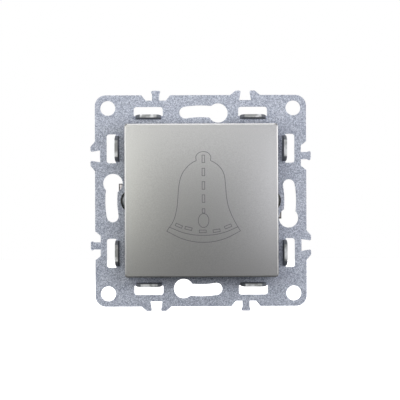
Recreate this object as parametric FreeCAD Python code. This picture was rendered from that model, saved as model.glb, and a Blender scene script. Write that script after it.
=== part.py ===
# Flush-mounted doorbell push button: a galvanised steel mounting plate, a rocking push cap in
# front of it, a moulded housing with one closing contact behind it, and two spreading claws.
#
# Frame: the origin is the middle of the plate's back face, which lies on the wall.
# X points right, Y into the wall and Z up. All sizes are in millimetres and degrees.

import FreeCAD, Part
import math
import os

V = FreeCAD.Vector
ORIGIN = V(0, 0, 0)

# Mounting plate
plate_thick = 1.0
plate_corner_r = 3.6
opening_width = 34.0
opening_height = 38.0
opening_corner_r = 2.0

# The plate's middle is pressed forward, so that the cover's flange lies in it
pan_width = 48.0
pan_step = 0.4
pan_lap = 0.6
pan_corner_r = 3.0

# Dovetails that link neighbouring plates, one male and one female on each side
dovetail_offset = 15.0
dovetail_reach = 1.5
dovetail_tip_r = 0.5
male_head_width = 3.7
male_neck_width = 2.4
male_flare = 1.2
recess_mouth_width = 9.7
recess_floor_width = 6.8
recess_depth = 1.8
horn_foot_width = 10.0
horn_tip_width = 6.4
notch_mouth_width = 2.9
notch_base_width = 4.0
notch_depth = 1.7

# Curved keyholes on the box screws' ring, whose outer land gives the plate its width, and the
# corner holes, set in from the plate's edges
keyhole_ring_r = 30.0
keyhole_land = 3.4
corner_hole_inset = 4.35
corner_hole_r = 2.5
keyhole_slot_width = 4.0
keyhole_head_r = 3.25
keyhole_head_deg = 11.3
keyhole_tail_deg = -9.8

# Tabs that centre the cover frame, each bent forward out of its own slot, how far in from the
# plate's edge the slot lies, and how far inside the slot's edge the bend starts
tab_offset = 17.5
tab_width = 8.7
tab_root_run = 1.5
tab_bend_r = 0.5
tab_bend_deg = 80.0
tab_straight = 2.7
tab_tip_r = 2.2
tab_slot_length = 9.7
tab_slot_inner_inset = 7.0
tab_slot_outer_inset = 3.9
tab_slot_corner_r = 0.9

# Housing: the cover lies in the plate's pressed middle, the base is riveted on behind it
housing_r = 26.5
housing_height = 45.0
cover_thick = 2.5
base_depth = 21.1
base_back_wall = 2.0
base_edge_bevel = 0.8
collar_clearance = 0.2
collar_wall = 1.6
collar_reach = 3.5
channel_width = 14.0
chamber_depth = 4.9

# Rivets through plate, cover and base, set out from the plate's opening
rivet_margin = 2.4
rivet_land = 2.6
rivet_z = 13.5
rivet_r = 1.0
rivet_head_r = 1.6
rivet_head_thick = 0.6
rivet_length = 9.0

# Push cap
cap_width = 51.0
cap_reach = 10.0
cap_rim_gap = 2.8
cap_wall = 1.4
cap_front_wall = 1.8
cap_crown = 0.4
cap_corner_r = 1.0
cap_edge_bevel = 0.3
cap_hook_x = 10.0
cap_hook_width = 6.0
cap_hook_thick = 1.2
cap_hook_clearance = 0.15
cap_hook_play = 0.05
cap_hook_lip = 0.7
cap_hook_lip_height = 0.8
cap_rib_inset = 4.0
cap_rib_thick = 1.2

# Carrier that the cap clips onto, rocking in the collar's bearing ears
carrier_width = 38.0
carrier_thick = 1.6
carrier_gap = 0.6
carrier_corner_r = 2.0
carrier_arm_thick = 1.7
carrier_arm_width = 9.0
carrier_arm_round = 3.6
pivot_reach = 1.5
journal_r = 1.5
journal_clearance = 0.08
journal_end_clearance = 0.1
bearing_ear_r = 3.4
bearing_ear_round = 2.0
press_deg = 4.5
stop_pad_width = 10.0
stop_clearance = 0.1
side_clearance = 0.3

# Return spring between the carrier and a boss in the base
spring_x = -3.4
spring_z = -11.0
spring_r = 2.2
spring_wire = 0.5
spring_turns = 4.5
spring_boss_r = 2.9
spring_boss_front = 3.0
spring_seat_depth = 0.8
spring_pin_r = 1.5
spring_pin_length = 2.5
spring_clearance = 0.15
spring_end_gap = 0.05

# Contact arm, pressed by a nose of the carrier
arm_x = 2.5
arm_width = 3.6
arm_thick = 0.8
arm_y = 8.5
arm_pivot_z = 2.0
arm_tip_z = -17.2
arm_eye_r = 1.3
arm_end_clearance = 0.8
arm_pin_r = 0.75
arm_pin_clearance = 0.05
arm_pin_overhang = 0.3
nose_z = -15.5
nose_width = 2.4
nose_clearance = 0.1
contact_z = -12.4
contact_r = 1.4
contact_height = 0.65
contact_shank_r = 0.7
contact_tail_r = 1.0
contact_tail_height = 0.3
contact_gap = 1.15
arm_spring_z = -6.0
arm_spring_r = 1.3
arm_spring_wire = 0.35
arm_spring_turns = 3.0
arm_spring_seat_depth = 1.0

# Brass strips that lead to the terminals
strip_front = 11.5
strip_thick = 1.0
strip_width = 4.6
strip_ear_thick = 1.0
strip_ear_margin = 0.2
strip_clearance = 0.15
tongue_margin = 0.2
tongue_low_z = -13.7
tongue_high_z = -11.0

# Rising cage terminals with captive screws, worked from behind
clamp_x = 9.5
clamp_z = -17.0
clamp_width = 7.5
clamp_length = 6.0
clamp_wall = 1.2
clamp_front = 7.1
clamp_back = 16.1
clamp_corner_r = 0.8
clamp_travel = 2.4
clamp_clearance = 0.3
terminal_screw_r = 1.75
terminal_head_r = 3.0
terminal_head_thick = 2.1
terminal_thread_clearance = 0.08
terminal_tip_clearance = 0.05
driver_hole_r = 2.4
wire_hole_r = 1.6
wire_funnel = 0.8

# Claws: each turns about its rolled inner edge when its screw draws the nut forward. The screws
# stand a little outside the middle of the land between the plate's opening and its side keyholes.
claw_screw_outset = 0.4
claw_width = 12.0
claw_thick = 1.2
claw_lever = 4.3
claw_foot_length = 9.0
claw_wall_gap = 0.7
claw_pivot_y = 8.6
claw_end_y = 20.0
claw_bend_r = 0.6
claw_tooth_count = 4
claw_tooth_height = 1.8
claw_slot_start = 2.5
claw_slot_end = 7.1
claw_slot_width = 3.5
claw_rib_gap = 0.3
claw_rib_reach = 1.2
claw_rib_length = 3.0
claw_rib_thick = 1.6
claw_rib_round = 0.3
claw_spread_deg = 25.0
claw_screw_r = 1.5
claw_screw_end_y = 20.5
claw_screw_head_r = 3.3
claw_screw_head_thick = 1.7
claw_screw_head_back = 0.25
claw_screw_head_bevel = 0.4
claw_screw_tip_bevel = 0.5
claw_screw_hole_r = 4.0
claw_ear_r = 3.6
claw_ear_front = 0.3
claw_ear_clearance = 0.08
claw_nut_r = 2.4
claw_nut_length = 9.0
claw_nut_gap = 0.15
screw_slot_width = 0.9
screw_slot_depth = 0.9

# How far a cutter runs past a face, and a grown feature starts inside its parent
past = 1.0
sink = 0.2

# Levels and half sizes that follow from the values above
plate_half = keyhole_ring_r + keyhole_slot_width / 2 + keyhole_land
corner_hole_offset = plate_half - corner_hole_inset
tab_slot_inner = plate_half - tab_slot_inner_inset
tab_slot_outer = plate_half - tab_slot_outer_inset
tab_root = tab_slot_inner - tab_root_run
pan_half = pan_width / 2
plate_front = -plate_thick
pan_back = -pan_step
pan_front = pan_back - plate_thick
joint_y = pan_back + cover_thick
base_back = joint_y + base_depth
head_floor = base_back - base_back_wall
chamber_back = joint_y + chamber_depth
collar_front = plate_front - collar_reach
collar_half_x = opening_width / 2 - collar_clearance
collar_half_z = opening_height / 2 - collar_clearance
collar_corner_r = opening_corner_r - collar_clearance
window_half_x = collar_half_x - collar_wall
window_half_z = collar_half_z - collar_wall
rivet_x = opening_width / 2 + rivet_margin
housing_half = rivet_x + rivet_land
land_middle = (opening_width / 2 + keyhole_ring_r - keyhole_slot_width / 2) / 2
claw_screw_x = land_middle + claw_screw_outset
claw_pivot_x = claw_screw_x - claw_lever
claw_outer_x = claw_pivot_x + claw_foot_length
channel_wall_x = claw_pivot_x - claw_wall_gap
pivot_y = plate_front - pivot_reach
cap_front = plate_front - cap_reach
cap_rim = plate_front - cap_rim_gap
cap_half = cap_width / 2
cap_inside = cap_front + cap_front_wall
carrier_front = cap_inside + carrier_gap
carrier_back = carrier_front + carrier_thick
carrier_half = carrier_width / 2
strip_back = strip_front + strip_thick
arm_front = arm_y - arm_thick / 2
arm_back = arm_y + arm_thick / 2
arm_pin_half = arm_width / 2 + side_clearance + strip_ear_thick + arm_pin_overhang
spring_seat = spring_boss_front + spring_seat_depth

AXES = {
    "xz": (V(1, 0, 0), V(0, 0, 1), V(0, 1, 0)),
    "yz": (V(0, 1, 0), V(0, 0, 1), V(1, 0, 0)),
    "xy": (V(1, 0, 0), V(0, 1, 0), V(0, 0, 1)),
}


def block(x, y, z):
    """A block between the two values given for each axis."""
    return Part.makeBox(x[1] - x[0], y[1] - y[0], z[1] - z[0], V(x[0], y[0], z[0]))


def rod(start, end, radius):
    """A round bar from one point to another."""
    span = V(*end) - V(*start)
    return Part.makeCylinder(radius, span.Length, V(*start), span)


def rod_y(x, z, low, high, radius):
    """A round bar along Y."""
    return rod((x, low, z), (x, high, z), radius)


def rectangle(a, b, radius=0.0):
    """The corners of a rectangle between two values each way, all with one radius."""
    return [(a[0], b[0], radius), (a[1], b[0], radius), (a[1], b[1], radius), (a[0], b[1], radius)]


def corner_arc(before, corner, after, radius):
    """Start, middle and end of the arc that rounds one corner of an outline."""
    here = V(corner[0], corner[1], 0)
    back = (V(before[0], before[1], 0) - here).normalize()
    ahead = (V(after[0], after[1], 0) - here).normalize()
    half_angle = back.getAngle(ahead) / 2
    bisector = (back + ahead).normalize()
    trim = radius / math.tan(half_angle)
    middle = here + bisector * (radius / math.sin(half_angle) - radius)
    return here + back * trim, middle, here + ahead * trim


def prism(plane, corners, low, high):
    """Extrude an outline of (a, b, radius) corners in the named plane, along its third axis."""
    across, up, along = AXES[plane]

    def place(point):
        return across * point.x + up * point.y + along * low

    edges = []
    arcs = []
    for i, corner in enumerate(corners):
        before, after = corners[i - 1], corners[(i + 1) % len(corners)]
        if corner[2] > 0:
            arcs.append([place(p) for p in corner_arc(before, corner, after, corner[2])])
        else:
            arcs.append([place(V(corner[0], corner[1], 0))])
    for i, arc in enumerate(arcs):
        if len(arc) == 3:
            edges.append(Part.Arc(*arc).toShape())
        following = arcs[(i + 1) % len(arcs)][0]
        if arc[-1].distanceToPoint(following) > 1e-6:
            edges.append(Part.LineSegment(arc[-1], following).toShape())
    return Part.Face(Part.Wire(edges)).extrude(along * (high - low))


def fused(shapes):
    """All the shapes as one, with the seams between them removed."""
    return shapes[0].multiFuse(shapes[1:]).removeSplitter()


def turned(shape, centre, axis, angle):
    """A copy of the shape, turned about an axis through a point."""
    copy = shape.copy()
    copy.rotate(V(*centre), V(*axis), angle)
    return copy


def on_four_sides(shape):
    """The shape on the plate's top side, and its copies on the right, bottom and left."""
    return [turned(shape, (0, 0, 0), (0, 1, 0), 90 * side) for side in range(4)]


def left_and_right(shape):
    """A piece made for the right side, and its mirror image for the left."""
    return {"right": shape, "left": shape.mirror(ORIGIN, V(1, 0, 0))}


def coil(x, z, low, high, radius, wire, turns):
    """A coil spring of square wire along Y that just fits between two planes."""
    height = high - low - wire
    helix = Part.makeHelix(height / turns, height, radius)
    half = wire / 2
    corners = [(-half, -half), (half, -half), (half, half), (-half, half), (-half, -half)]
    section = Part.makePolygon([V(radius + a, 0, b) for a, b in corners])
    spring = Part.Wire(helix.Edges).makePipeShell([section], True, True)
    spring.rotate(ORIGIN, V(1, 0, 0), -90)
    spring.translate(V(x, low + half, z))
    return spring


def bevelled(shape, y, size):
    """The shape with a bevel on every edge that lies in the plane y."""
    edges = [e for e in shape.Edges if max(abs(e.BoundBox.YMin - y), abs(e.BoundBox.YMax - y)) < 1e-6]
    return shape.makeChamfer(size, edges)


def slotted(head, head_r, x, z, y, into):
    """A screw head with a driver slot, cut from the plane y in the direction into."""
    low, high = sorted((y, y + into * screw_slot_depth))
    reach = head_r + past
    half = screw_slot_width / 2
    return head.cut(block((x - half, x + half), (low, high), (z - reach, z + reach)))


def mirrored_about(centre, half):
    """Corners on both sides of a centre, from the half outline of (distance, height, radius)."""
    left = [(centre - d, h, r) for d, h, r in half]
    right = [(centre + d, h, r) for d, h, r in reversed(half)]
    return left + right


def plate_outline():
    """The plate's edge: on each side, clockwise, a male dovetail, a female one and a corner."""
    tip = plate_half + dovetail_reach
    male = [
        (recess_mouth_width / 2, plate_half, 0),
        (recess_floor_width / 2, plate_half - recess_depth, 0),
        (male_neck_width / 2, plate_half - recess_depth, 0),
        (male_neck_width / 2, tip - male_flare, 0),
        (male_head_width / 2, tip, dovetail_tip_r),
    ]
    female = [
        (horn_foot_width / 2, plate_half, 0),
        (horn_tip_width / 2, tip, dovetail_tip_r),
        (notch_mouth_width / 2, tip, dovetail_tip_r),
        (notch_base_width / 2, plate_half - notch_depth, 0),
    ]
    side = mirrored_about(-dovetail_offset, male) + mirrored_about(dovetail_offset, female)
    side.append((plate_half, plate_half, plate_corner_r))
    turns = [(1, 0), (0, -1), (-1, 0), (0, 1)]
    return [(s * c - h * k, s * k + h * c, radius) for c, k in turns for s, h, radius in side]


def ring_point(angle, radius):
    """A point on a ring about the plate's centre, the angle counted clockwise from the top."""
    return V(radius * math.sin(math.radians(angle)), 0, radius * math.cos(math.radians(angle)))


def keyhole(low, high):
    """Cutter for the top keyhole: a curved slot with a round head at its clockwise end."""
    half = keyhole_slot_width / 2
    inner, outer = keyhole_ring_r - half, keyhole_ring_r + half
    middle_deg = (keyhole_head_deg + keyhole_tail_deg) / 2
    cap_deg = math.degrees(half / keyhole_ring_r)
    tail, head = keyhole_tail_deg, keyhole_head_deg
    edges = [
        Part.Arc(ring_point(tail, outer), ring_point(middle_deg, outer), ring_point(head, outer)),
        Part.Arc(ring_point(head, outer), ring_point(head + cap_deg, keyhole_ring_r),
                 ring_point(head, inner)),
        Part.Arc(ring_point(head, inner), ring_point(middle_deg, inner), ring_point(tail, inner)),
        Part.Arc(ring_point(tail, inner), ring_point(tail - cap_deg, keyhole_ring_r),
                 ring_point(tail, outer)),
    ]
    slot = Part.Face(Part.Wire([edge.toShape() for edge in edges]))
    slot.translate(V(0, low, 0))
    centre = ring_point(keyhole_head_deg, keyhole_ring_r)
    head_hole = rod_y(centre.x, centre.z, low, high, keyhole_head_r)
    return slot.extrude(V(0, high - low, 0)).fuse(head_hole)


def tab_slots(low, high):
    """Cutters for the top side's two slots and for the bends that start inside them."""
    cutters = []
    for centre in (-tab_offset, tab_offset):
        long_half = tab_slot_length / 2
        short_half = tab_width / 2
        r = tab_slot_corner_r
        corners = [
            (centre - long_half, tab_slot_inner, 0),
            (centre - long_half, tab_slot_outer, r),
            (centre + long_half, tab_slot_outer, r),
            (centre + long_half, tab_slot_inner, 0),
        ]
        cutters.append(prism("xz", corners, low, high))
        root = ((centre - short_half, centre + short_half), (tab_root, tab_slot_inner))
        cutters.append(prism("xz", rectangle(*root), low, high))
    return cutters


def tab(centre):
    """One tab of the top side: sheet metal bent forward and rounded at its tip."""
    bend = math.radians(tab_bend_deg)
    outer_r = tab_bend_r + plate_thick
    axis_y = -outer_r

    def on_bend(radius, angle):
        return V(0, axis_y + radius * math.cos(angle), tab_root + radius * math.sin(angle))

    along = V(0, -math.sin(bend), math.cos(bend)) * tab_straight
    outer_end, inner_end = on_bend(outer_r, bend), on_bend(tab_bend_r, bend)
    edges = [
        Part.Arc(on_bend(outer_r, 0), on_bend(outer_r, bend / 2), outer_end),
        Part.LineSegment(outer_end, outer_end + along),
        Part.LineSegment(outer_end + along, inner_end + along),
        Part.LineSegment(inner_end + along, inner_end),
        Part.Arc(inner_end, on_bend(tab_bend_r, bend / 2), on_bend(tab_bend_r, 0)),
        Part.LineSegment(on_bend(tab_bend_r, 0), on_bend(outer_r, 0)),
    ]
    profile = Part.Face(Part.Wire([edge.toShape() for edge in edges]))
    profile.translate(V(centre - tab_width / 2, 0, 0))
    strip = profile.extrude(V(tab_width, 0, 0))
    tip_y = (outer_end + along).y
    sides = (centre - tab_width / 2, centre + tab_width / 2)
    corners = [
        (sides[0], 0, 0),
        (sides[0], tip_y, tab_tip_r),
        (sides[1], tip_y, tab_tip_r),
        (sides[1], 0, 0),
    ]
    return strip.common(prism("xy", corners, tab_root, tab_slot_outer))


def mounting_plate():
    low, high = pan_front - past, past
    slab = prism("xz", plate_outline(), plate_front, 0)
    lapped = pan_half - pan_lap
    hollow = prism("xz", rectangle((-lapped, lapped), (-lapped, lapped), pan_corner_r), low, high)
    span = (-pan_half, pan_half)
    pan = prism("xz", rectangle(span, span, pan_corner_r), pan_front, pan_back)
    sheet = slab.cut(hollow).fuse(pan)
    half_x, half_z = opening_width / 2, opening_height / 2
    opening = rectangle((-half_x, half_x), (-half_z, half_z), opening_corner_r)
    cutters = [prism("xz", opening, low, high)]
    for x in (-1, 1):
        cutters.append(rod_y(x * claw_screw_x, 0, low, high, claw_screw_hole_r))
        for z in (-1, 1):
            cutters.append(rod_y(x * rivet_x, z * rivet_z, low, high, rivet_r))
            across, up = x * corner_hole_offset, z * corner_hole_offset
            cutters.append(rod_y(across, up, low, high, corner_hole_r))
    for cutter in [keyhole(low, high)] + tab_slots(low, high):
        cutters += on_four_sides(cutter)
    sheet = sheet.cut(cutters)
    tabs = [copy for centre in (-tab_offset, tab_offset) for copy in on_four_sides(tab(centre))]
    return fused([sheet] + tabs)


def housing_body(low, high, back_bevel=0.0):
    """The housing's outer form: a round block with flat sides and a channel for each claw."""
    span_z = (-housing_height / 2, housing_height / 2)
    flats = block((-housing_half, housing_half), (low, high), span_z)
    body = rod_y(0, 0, low, high, housing_r).common(flats)
    if back_bevel > 0:
        body = bevelled(body, high, back_bevel)
    for x in ((channel_wall_x, housing_r), (-housing_r, -channel_wall_x)):
        body = body.cut(block(x, (low, high), (-channel_width / 2, channel_width / 2)))
    return body


def collar():
    """The frame that passes through the plate, with bearing ears and stop pads at its front."""
    span_x, span_z = (-collar_half_x, collar_half_x), (-collar_half_z, collar_half_z)
    frame = prism("xz", rectangle(span_x, span_z, collar_corner_r), collar_front, joint_y)
    parts = [frame]
    for x in ((window_half_x, collar_half_x), (-collar_half_x, -window_half_x)):
        ear_front = pivot_y - bearing_ear_r
        ear = [
            (pivot_y, -bearing_ear_r, 0),
            (pivot_y, bearing_ear_r, 0),
            (ear_front, bearing_ear_r, bearing_ear_round),
            (ear_front, -bearing_ear_r, bearing_ear_round),
        ]
        parts.append(prism("yz", ear, x[0], x[1]))
    pad_x = (-stop_pad_width / 2, stop_pad_width / 2)
    rest_pad_front = carrier_back + stop_clearance
    drop = collar_half_z * math.sin(math.radians(press_deg))
    press_pad_front = rest_pad_front + drop
    parts.append(block(pad_x, (rest_pad_front, joint_y), (window_half_z, collar_half_z)))
    parts.append(block(pad_x, (press_pad_front, joint_y), (-collar_half_z, -window_half_z)))
    return parts


def housing_cover():
    parts = [housing_body(pan_back, joint_y)] + collar()
    for side in (-1, 1):
        x = sorted((side * window_half_x, side * claw_screw_x))
        parts.append(block(x, (claw_ear_front, joint_y), (-claw_ear_r, claw_ear_r)))
        parts.append(rod_y(side * claw_screw_x, 0, claw_ear_front, joint_y, claw_ear_r))
    cover = fused(parts)
    low, high = carrier_back - past, joint_y + past
    window_x, window_z = (-window_half_x, window_half_x), (-window_half_z, window_half_z)
    cutters = [prism("xz", rectangle(window_x, window_z, collar_corner_r / 2), low, high)]
    for side in (-1, 1):
        x = side * claw_screw_x
        cutters.append(rod_y(x, 0, low, high, claw_screw_r + claw_ear_clearance))
        cutters.append(rod_y(x, 0, low, claw_ear_front, claw_ear_r))
        for z in (-rivet_z, rivet_z):
            cutters.append(rod_y(side * rivet_x, z, low, high, rivet_r))
    bearing = journal_r + journal_clearance
    cutters.append(rod((-collar_half_x, pivot_y, 0), (collar_half_x, pivot_y, 0), bearing))
    return cover.cut(cutters).removeSplitter()


def strip_grooves():
    """Cutters for the two strips' grooves, the contact chamber and the arm's bracket."""
    gap = strip_clearance
    low, high = chamber_back, strip_back
    half = strip_width / 2 + gap
    bracket_z = (arm_pivot_z - half, arm_pivot_z + half)
    bracket_end = arm_x + arm_pin_half + gap
    foot_z = clamp_z - clamp_length / 2 - gap
    chamber_half = arm_width / 2 + 2 * side_clearance
    chamber_x = (arm_x - chamber_half, arm_x + chamber_half)
    return [
        block((-clamp_x - half, -clamp_x + half), (low, high), (foot_z, bracket_z[1])),
        block((-clamp_x - half, bracket_end), (low, high), bracket_z),
        block(chamber_x, (low, high), (arm_tip_z - arm_end_clearance, bracket_z[0])),
        block((clamp_x - half, clamp_x + half), (low, high), (foot_z, tongue_high_z + gap)),
        block((chamber_x[0], clamp_x + half), (low, high),
              (tongue_low_z - gap, tongue_high_z + gap)),
    ]


def terminal_cutters(side):
    """Cutters for one terminal: its cage's chamber, the screw's head and the holes to both."""
    gap = clamp_clearance
    x, half_x, half_z = side * clamp_x, clamp_width / 2 + gap, clamp_length / 2 + gap
    chamber = block((x - half_x, x + half_x), (joint_y, clamp_back + clamp_travel + gap),
                    (clamp_z - half_z, clamp_z + half_z))
    head = rod_y(x, clamp_z, joint_y + chamber_depth, head_floor, terminal_head_r + gap)
    driver = rod_y(x, clamp_z, head_floor, base_back, driver_hole_r)
    wire_y = (clamp_front + clamp_wall + strip_front) / 2
    outside = -housing_height / 2
    wire = rod((x, wire_y, outside), (x, wire_y, clamp_z), wire_hole_r)
    funnel = Part.makeCone(wire_hole_r + wire_funnel, wire_hole_r, wire_funnel,
                           V(x, wire_y, outside), V(0, 0, 1))
    return [chamber, head, driver, wire, funnel]


def claw_ribs():
    """Ribs in the right channel that hold the claw's rolled edge, before and behind it."""
    edge_r = claw_thick / 2
    slope = math.tan(math.radians(claw_spread_deg))
    outer = channel_wall_x + claw_rib_reach + claw_rib_gap
    front_y = claw_pivot_y - edge_r - claw_rib_gap
    inside = channel_wall_x - sink
    front = [
        (inside, front_y - claw_rib_length, 0),
        (outer, front_y - claw_rib_length, claw_rib_round),
        (outer, front_y - (outer - channel_wall_x) * slope, claw_rib_round),
        (channel_wall_x, front_y, 0),
        (inside, front_y, 0),
    ]
    back_y = claw_pivot_y + edge_r + claw_rib_gap
    back = rectangle((inside, channel_wall_x + claw_rib_reach), (back_y, back_y + claw_rib_thick))
    half = claw_width / 2
    return [prism("xy", front, -half, half), prism("xy", back, -half, half)]


def housing_base():
    body = housing_body(joint_y, base_back, base_edge_bevel)
    window_x, window_z = (-window_half_x, window_half_x), (-window_half_z, window_half_z)
    chamber = rectangle(window_x, window_z, collar_corner_r / 2)
    body = body.cut(prism("xz", chamber, joint_y, chamber_back))
    ribs = claw_ribs()
    mirrored = [rib.mirror(ORIGIN, V(1, 0, 0)) for rib in ribs]
    boss = rod_y(spring_x, spring_z, spring_boss_front, chamber_back, spring_boss_r)
    body = fused([body, boss] + ribs + mirrored)
    cutters = strip_grooves() + terminal_cutters(-1) + terminal_cutters(1)
    seat_r = spring_r + spring_wire / 2 + spring_clearance
    cutters.append(rod_y(spring_x, spring_z, spring_boss_front, spring_seat, seat_r))
    arm_seat_r = arm_spring_r + arm_spring_wire / 2 + spring_clearance
    arm_seat = strip_back + arm_spring_seat_depth
    cutters.append(rod_y(arm_x, arm_spring_z, strip_back, arm_seat, arm_seat_r))
    rivet_end = pan_front + rivet_length
    for x in (-rivet_x, rivet_x):
        for z in (-rivet_z, rivet_z):
            cutters.append(rod_y(x, z, joint_y, rivet_end, rivet_r))
    return body.cut(cutters).removeSplitter()


def plate_rivets():
    rivets = []
    for x in (-rivet_x, rivet_x):
        for z in (-rivet_z, rivet_z):
            head_front = pan_front - rivet_head_thick
            head = rod_y(x, z, head_front, pan_front, rivet_head_r)
            shank = rod_y(x, z, pan_front, pan_front + rivet_length, rivet_r)
            head = bevelled(head, head_front, rivet_head_thick / 2)
            rivets.append(head.fuse(shank).removeSplitter())
    return Part.makeCompound(rivets)


def cap_hooks():
    """Hooks at the cap's top and bottom that snap behind the carrier."""
    inner = carrier_half + cap_hook_clearance
    outer = inner + cap_hook_thick
    lip_y = carrier_back + cap_hook_play
    end_y = lip_y + cap_hook_lip_height
    hook = [
        (cap_inside - sink, inner, 0),
        (lip_y, inner, 0),
        (lip_y, inner - cap_hook_lip, 0),
        (end_y, inner, 0),
        (end_y, outer, cap_hook_thick / 4),
        (cap_inside - sink, outer, 0),
    ]
    hooks = []
    for x in (-cap_hook_x, cap_hook_x):
        top = prism("yz", hook, x - cap_hook_width / 2, x + cap_hook_width / 2)
        hooks += [top, top.mirror(ORIGIN, V(0, 0, 1))]
    return hooks


def button_cap():
    reach = cap_half
    outline = rectangle((-reach, reach), (-reach, reach), cap_corner_r)
    shell = prism("xz", outline, cap_front, cap_rim)
    diagonal = reach * math.sqrt(2)
    dome_r = (diagonal ** 2 + cap_crown ** 2) / (2 * cap_crown)
    dome = Part.makeSphere(dome_r, V(0, cap_front + dome_r, 0))
    shell = shell.common(dome)
    front = [e for e in shell.Edges if e.BoundBox.YMax < cap_front + past]
    shell = shell.makeChamfer(cap_edge_bevel, front)
    inside = cap_half - cap_wall
    hollow = rectangle((-inside, inside), (-inside, inside), cap_corner_r / 2)
    shell = shell.cut(prism("xz", hollow, cap_inside, cap_rim))
    ribs = []
    reach = carrier_half - cap_rib_inset
    for centre in (-reach, reach):
        across = (centre - cap_rib_thick / 2, centre + cap_rib_thick / 2)
        ribs.append(block(across, (cap_inside - sink, carrier_front), (-reach, reach)))
        ribs.append(block((-reach, reach), (cap_inside - sink, carrier_front), across))
    return fused([shell] + ribs + cap_hooks())


def button_carrier():
    half = carrier_half
    outline = rectangle((-half, half), (-half, half), carrier_corner_r)
    parts = [prism("xz", outline, carrier_front, carrier_back)]
    arm_outer = window_half_x - side_clearance
    arm_end = pivot_y + carrier_arm_width / 2
    arm_half = carrier_arm_width / 2
    for side in (-1, 1):
        x = sorted((side * arm_outer, side * (arm_outer - carrier_arm_thick)))
        corners = [
            (carrier_back - sink, -arm_half, 0),
            (arm_end, -arm_half, carrier_arm_round),
            (arm_end, arm_half, carrier_arm_round),
            (carrier_back - sink, arm_half, 0),
        ]
        parts.append(prism("yz", corners, x[0], x[1]))
        journal_end = side * (collar_half_x - journal_end_clearance)
        journal_start = side * (arm_outer - sink)
        parts.append(rod((journal_start, pivot_y, 0), (journal_end, pivot_y, 0), journal_r))
    tip = arm_front - nose_clearance
    nose_half = nose_width / 2
    nose = [
        (carrier_back - sink, nose_z - nose_half, 0),
        (tip, nose_z - nose_half, nose_half),
        (tip, nose_z + nose_half, nose_half),
        (carrier_back - sink, nose_z + nose_half, 0),
    ]
    parts.append(prism("yz", nose, arm_x - nose_half, arm_x + nose_half))
    pin_end = carrier_back + spring_pin_length
    parts.append(rod_y(spring_x, spring_z, carrier_back - sink, pin_end, spring_pin_r))
    return fused(parts)


def return_spring():
    gap = spring_end_gap
    return coil(spring_x, spring_z, carrier_back + gap, spring_seat - gap,
                spring_r, spring_wire, spring_turns)


def contact_arm():
    x = (arm_x - arm_width / 2, arm_x + arm_width / 2)
    strip = block(x, (arm_front, arm_back), (arm_tip_z, arm_pivot_z))
    eye = rod((x[0], arm_y, arm_pivot_z), (x[1], arm_y, arm_pivot_z), arm_eye_r)
    arm = fused([strip, eye])
    bore = arm_pin_r + arm_pin_clearance
    arm = arm.cut(rod((x[0], arm_y, arm_pivot_z), (x[1], arm_y, arm_pivot_z), bore))
    return arm.cut(rod_y(arm_x, contact_z, arm_front, arm_back, contact_shank_r))


def moving_contact():
    head = rod_y(arm_x, contact_z, arm_back, arm_back + contact_height, contact_r)
    shank = rod_y(arm_x, contact_z, arm_front, arm_back, contact_shank_r)
    tail = rod_y(arm_x, contact_z, arm_front - contact_tail_height, arm_front, contact_tail_r)
    return fused([head, shank, tail])


def fixed_contact():
    front = arm_back + contact_height + contact_gap
    return rod_y(arm_x, contact_z, front, strip_front, contact_r)


def arm_pin():
    start = (arm_x - arm_pin_half, arm_y, arm_pivot_z)
    end = (arm_x + arm_pin_half, arm_y, arm_pivot_z)
    return rod(start, end, arm_pin_r)


def arm_spring():
    gap = spring_end_gap
    seat = strip_back + arm_spring_seat_depth
    return coil(arm_x, arm_spring_z, arm_back + gap, seat - gap,
                arm_spring_r, arm_spring_wire, arm_spring_turns)


def arm_terminal_strip():
    half = strip_width / 2
    foot = clamp_z - clamp_length / 2
    inner = arm_x - arm_width / 2 - side_clearance
    outer = arm_x + arm_width / 2 + side_clearance
    level = (strip_front, strip_back)
    ear_half = arm_eye_r + strip_ear_margin
    parts = [
        block((-clamp_x - half, -clamp_x + half), level, (foot, arm_pivot_z + half)),
        block((-clamp_x, outer + strip_ear_thick), level, (arm_pivot_z - half, arm_pivot_z + half)),
    ]
    ear = [
        (strip_back, arm_pivot_z - ear_half, 0),
        (strip_back, arm_pivot_z + ear_half, 0),
        (arm_y - ear_half, arm_pivot_z + ear_half, ear_half),
        (arm_y - ear_half, arm_pivot_z - ear_half, ear_half),
    ]
    parts.append(prism("yz", ear, inner - strip_ear_thick, inner))
    parts.append(prism("yz", ear, outer, outer + strip_ear_thick))
    strip = fused(parts)
    hole_start = (inner - strip_ear_thick, arm_y, arm_pivot_z)
    hole_end = (outer + strip_ear_thick, arm_y, arm_pivot_z)
    return strip.cut(rod(hole_start, hole_end, arm_pin_r))


def fixed_contact_strip():
    half = strip_width / 2
    foot = clamp_z - clamp_length / 2
    level = (strip_front, strip_back)
    leg = block((clamp_x - half, clamp_x + half), level, (foot, tongue_high_z))
    tongue_start = arm_x - contact_r - tongue_margin
    tongue = block((tongue_start, clamp_x), level, (tongue_low_z, tongue_high_z))
    return fused([leg, tongue])


def terminal_clamp():
    """The right terminal's cage: a square tube along the wire, threaded for the screw."""
    half_x, half_z = clamp_width / 2, clamp_length / 2
    outer = rectangle((clamp_x - half_x, clamp_x + half_x), (clamp_front, clamp_back), clamp_corner_r)
    tube = prism("xy", outer, clamp_z - half_z, clamp_z + half_z)
    inner_x = (clamp_x - half_x + clamp_wall, clamp_x + half_x - clamp_wall)
    inner = rectangle(inner_x, (clamp_front + clamp_wall, clamp_back - clamp_wall))
    tube = tube.cut(prism("xy", inner, clamp_z - half_z, clamp_z + half_z))
    thread_r = terminal_screw_r + terminal_thread_clearance
    return tube.cut(rod_y(clamp_x, clamp_z, clamp_back - clamp_wall, clamp_back, thread_r))


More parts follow.
